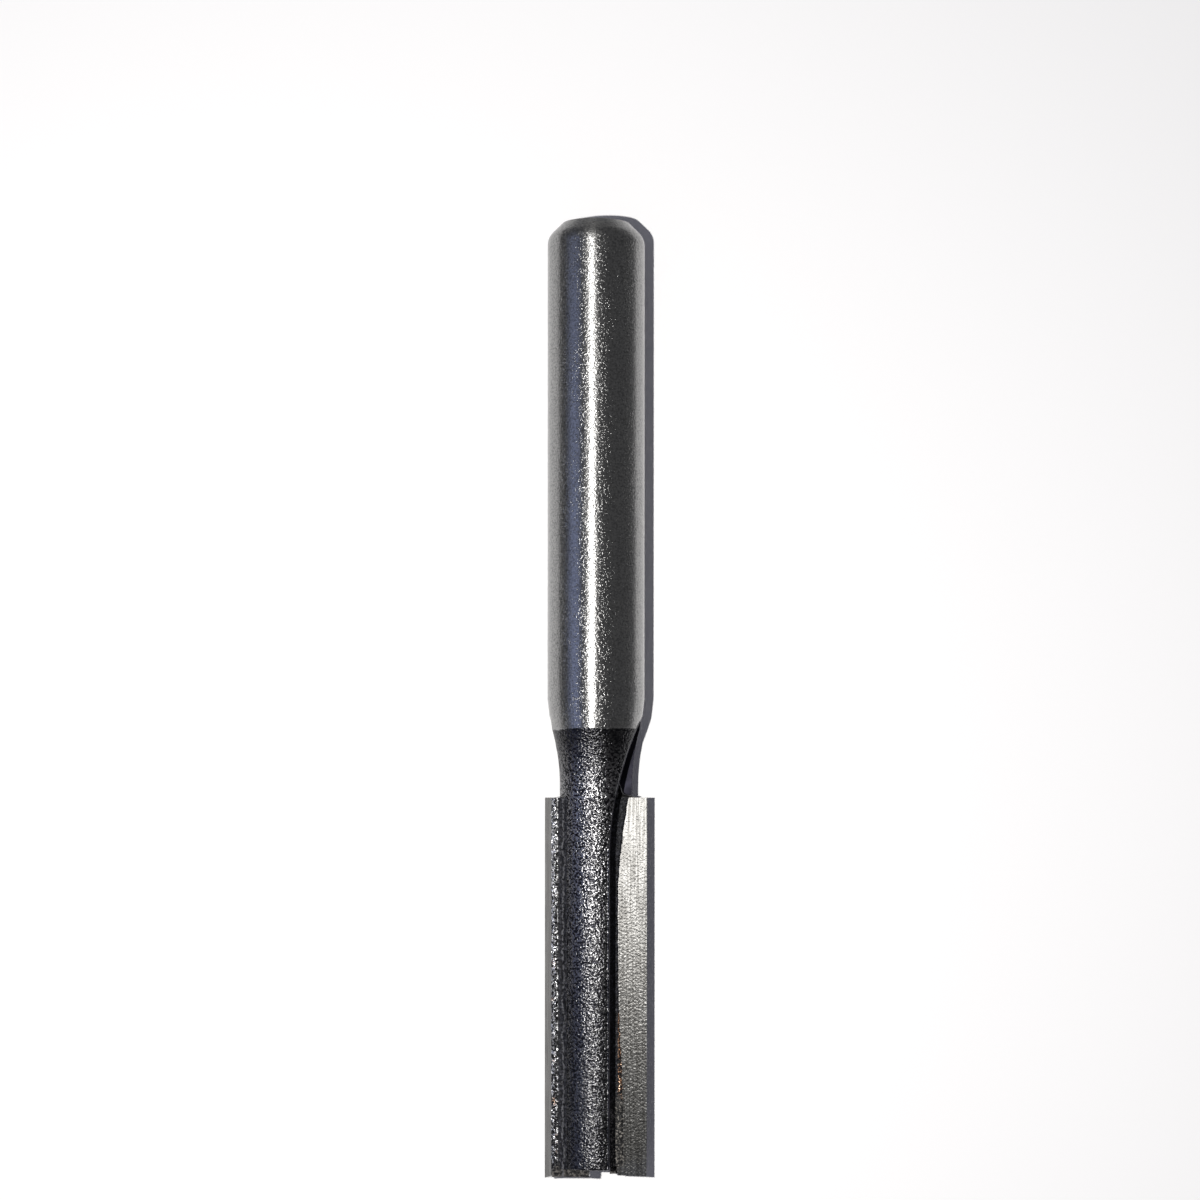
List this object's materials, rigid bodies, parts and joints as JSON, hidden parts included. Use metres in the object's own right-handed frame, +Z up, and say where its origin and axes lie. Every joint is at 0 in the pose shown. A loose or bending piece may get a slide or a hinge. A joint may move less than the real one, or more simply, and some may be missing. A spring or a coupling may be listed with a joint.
{
  "type": "router bit",
  "caption": "Straight router bit: a round steel shank for a collet, a slimmer fluted core and brazed carbide tips that cut along the side and the end.",
  "frame": {"origin": "on the bit's axis, at the inner end of the ground shank, where the taper begins", "axes": "+Y along the axis towards the shank's free end, +X across to the first tip's cutting edge, +Z up: the first tip's rake face looks up"},
  "size_m": [0.0084, 0.0786, 0.008],
  "materials": {
    "steel": "ground shank, black oxide neck and flutes",
    "carbide": "ground grey carbide",
    "braze": "rough as it set"
  },
  "bodies": {
    "root": {"body": "steel", "tip_a": "carbide", "tip_b": "carbide", "braze_a": "braze", "braze_b": "braze"}
  },
  "joints": []
}
